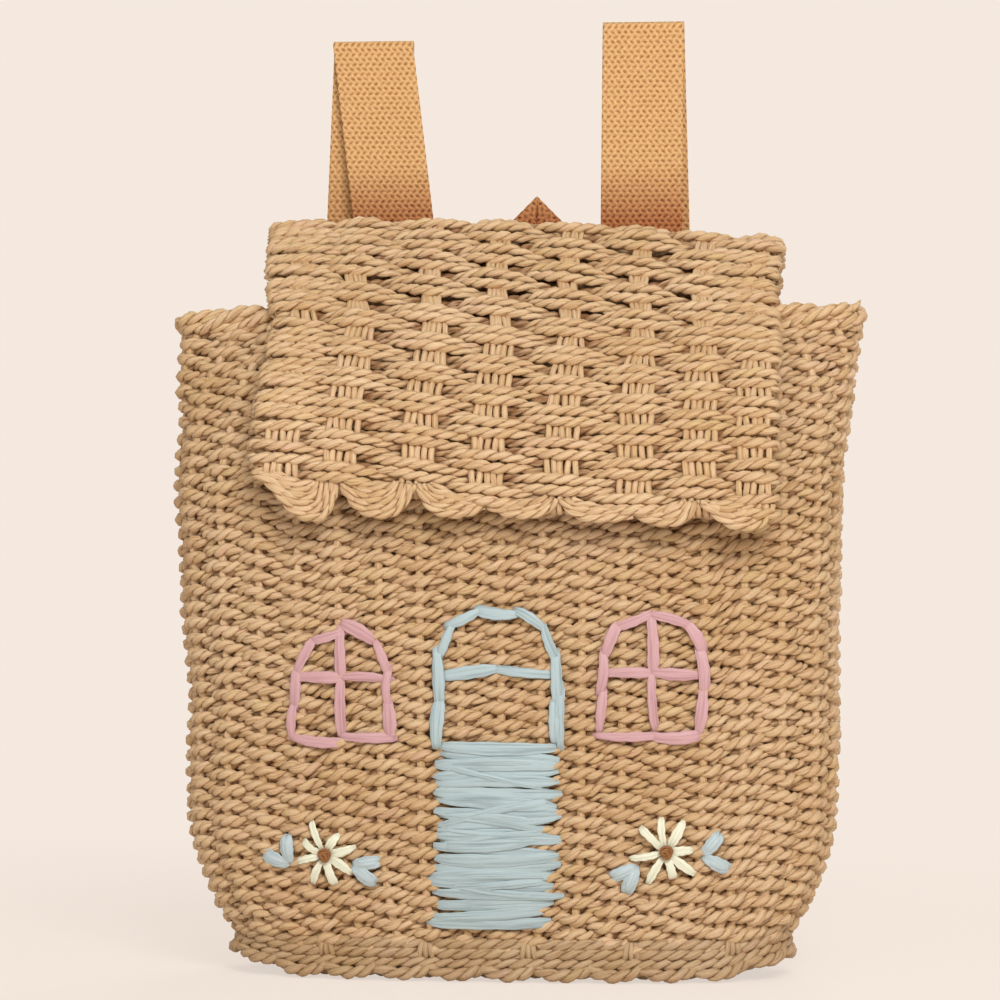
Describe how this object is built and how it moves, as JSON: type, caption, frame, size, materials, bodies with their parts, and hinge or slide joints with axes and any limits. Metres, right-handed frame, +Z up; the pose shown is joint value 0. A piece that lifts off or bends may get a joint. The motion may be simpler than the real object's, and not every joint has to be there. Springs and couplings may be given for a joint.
{
  "type": "straw backpack",
  "caption": "Woven straw backpack with a hinged front flap, raffia house and flower embroidery, folded webbing shoulder straps and a hanging loop.",
  "frame": {"origin": "on the underside of the base plate, under the middle of the basket, at floor level", "axes": "+Z up, -Y towards the embroidered front, +X to the right as seen from the front"},
  "size_m": [0.2472, 0.113, 0.345],
  "materials": {
    "straw": "twisted straw cord, matt with a slight sheen",
    "webbing": "ribbed woven webbing, matt",
    "blue_raffia": "flat raffia, satin",
    "pink_raffia": "flat raffia, satin",
    "cream_raffia": "flat raffia, satin",
    "brown_raffia": "knotted raffia, matt",
    "leaf_raffia": "flat raffia, satin",
    "snap_metal": "aged, satin",
    "adjuster_metal": "aged, satin"
  },
  "bodies": {
    "basket": {"basket_wall": "straw", "basket_base": "straw", "base_border": "straw", "rim_border": "straw", "back_riser": "straw", "crest_cord": "straw", "snap_stud": "snap_metal", "door_panel": "blue_raffia", "door_frame": "blue_raffia", "left_window": "pink_raffia", "right_window": "pink_raffia", "left_flower_petals": "cream_raffia", "left_flower_center": "brown_raffia", "left_flower_outer_leaves": "leaf_raffia", "left_flower_inner_leaves": "leaf_raffia", "right_flower_petals": "cream_raffia", "right_flower_center": "brown_raffia", "right_flower_outer_leaves": "leaf_raffia", "right_flower_inner_leaves": "leaf_raffia", "left_strap_top_seam": "webbing", "left_strap_foot_seam": "webbing", "right_strap_top_seam": "webbing", "right_strap_foot_seam": "webbing", "hang_loop_seam": "webbing"},
    "flap": {"flap_panel": "straw", "flap_border": "straw", "snap_socket": "snap_metal"},
    "left_front_ply": {"left_strap_front_ply": "webbing"},
    "left_back_ply": {"left_strap_back_ply": "webbing"},
    "left_tail": {"left_strap_tail": "webbing"},
    "left_adjuster": {"left_slide_adjuster": "adjuster_metal"},
    "right_front_ply": {"right_strap_front_ply": "webbing"},
    "right_back_ply": {"right_strap_back_ply": "webbing"},
    "right_tail": {"right_strap_tail": "webbing"},
    "right_adjuster": {"right_slide_adjuster": "adjuster_metal"},
    "hang_loop": {"hang_loop": "webbing"}
  },
  "joints": [
    {"name": "flap_hinge", "type": "hinge", "parent": "basket", "child": "flap", "pos_m": [0, 0.019, 0.267], "axis": [-1, 0, 0], "range_deg": [0, 140]},
    {"name": "left_strap_swing", "type": "hinge", "parent": "basket", "child": "left_front_ply", "pos_m": [-0.049, 0.03741, 0.236], "axis": [-1, 0, 0], "range_deg": [0, 65]},
    {"name": "left_strap_fold", "type": "hinge", "parent": "left_front_ply", "child": "left_back_ply", "pos_m": [-0.0585, 0.04491, 0.338], "axis": [-1, 0, 0], "range_deg": [-65, 0]},
    {"name": "left_strap_bend", "type": "hinge", "parent": "left_back_ply", "child": "left_tail", "pos_m": [-0.06463, 0.05235, 0.152], "axis": [-1, 0, 0], "range_deg": [0, 65]},
    {"name": "left_adjuster_slide", "type": "slide", "parent": "left_back_ply", "child": "left_adjuster", "axis": [0.033, -0.033, 0.9989], "range_m": [-0.014, 0.04]},
    {"name": "right_strap_swing", "type": "hinge", "parent": "basket", "child": "right_front_ply", "pos_m": [0.0425, 0.03752, 0.236], "axis": [-1, 0, 0], "range_deg": [0, 65]},
    {"name": "right_strap_fold", "type": "hinge", "parent": "right_front_ply", "child": "right_back_ply", "pos_m": [0.0425, 0.04502, 0.344], "axis": [-1, 0, 0], "range_deg": [-65, 0]},
    {"name": "right_strap_bend", "type": "hinge", "parent": "right_back_ply", "child": "right_tail", "pos_m": [0.04851, 0.05335, 0.158], "axis": [-1, 0, 0], "range_deg": [0, 65]},
    {"name": "right_adjuster_slide", "type": "slide", "parent": "right_back_ply", "child": "right_adjuster", "axis": [-0.0323, -0.0377, 0.9988], "range_m": [-0.014, 0.04]},
    {"name": "hang_loop_flip", "type": "hinge", "parent": "basket", "child": "hang_loop", "pos_m": [0.004, 0.036, 0.2458], "axis": [-1, 0, 0], "range_deg": [0, 70]}
  ],
  "couplings": [
    {"joint": "left_strap_fold", "follows": "left_strap_swing", "ratio": -1},
    {"joint": "left_strap_bend", "follows": "left_strap_swing", "ratio": 1},
    {"joint": "right_strap_fold", "follows": "right_strap_swing", "ratio": -1},
    {"joint": "right_strap_bend", "follows": "right_strap_swing", "ratio": 1}
  ]
}
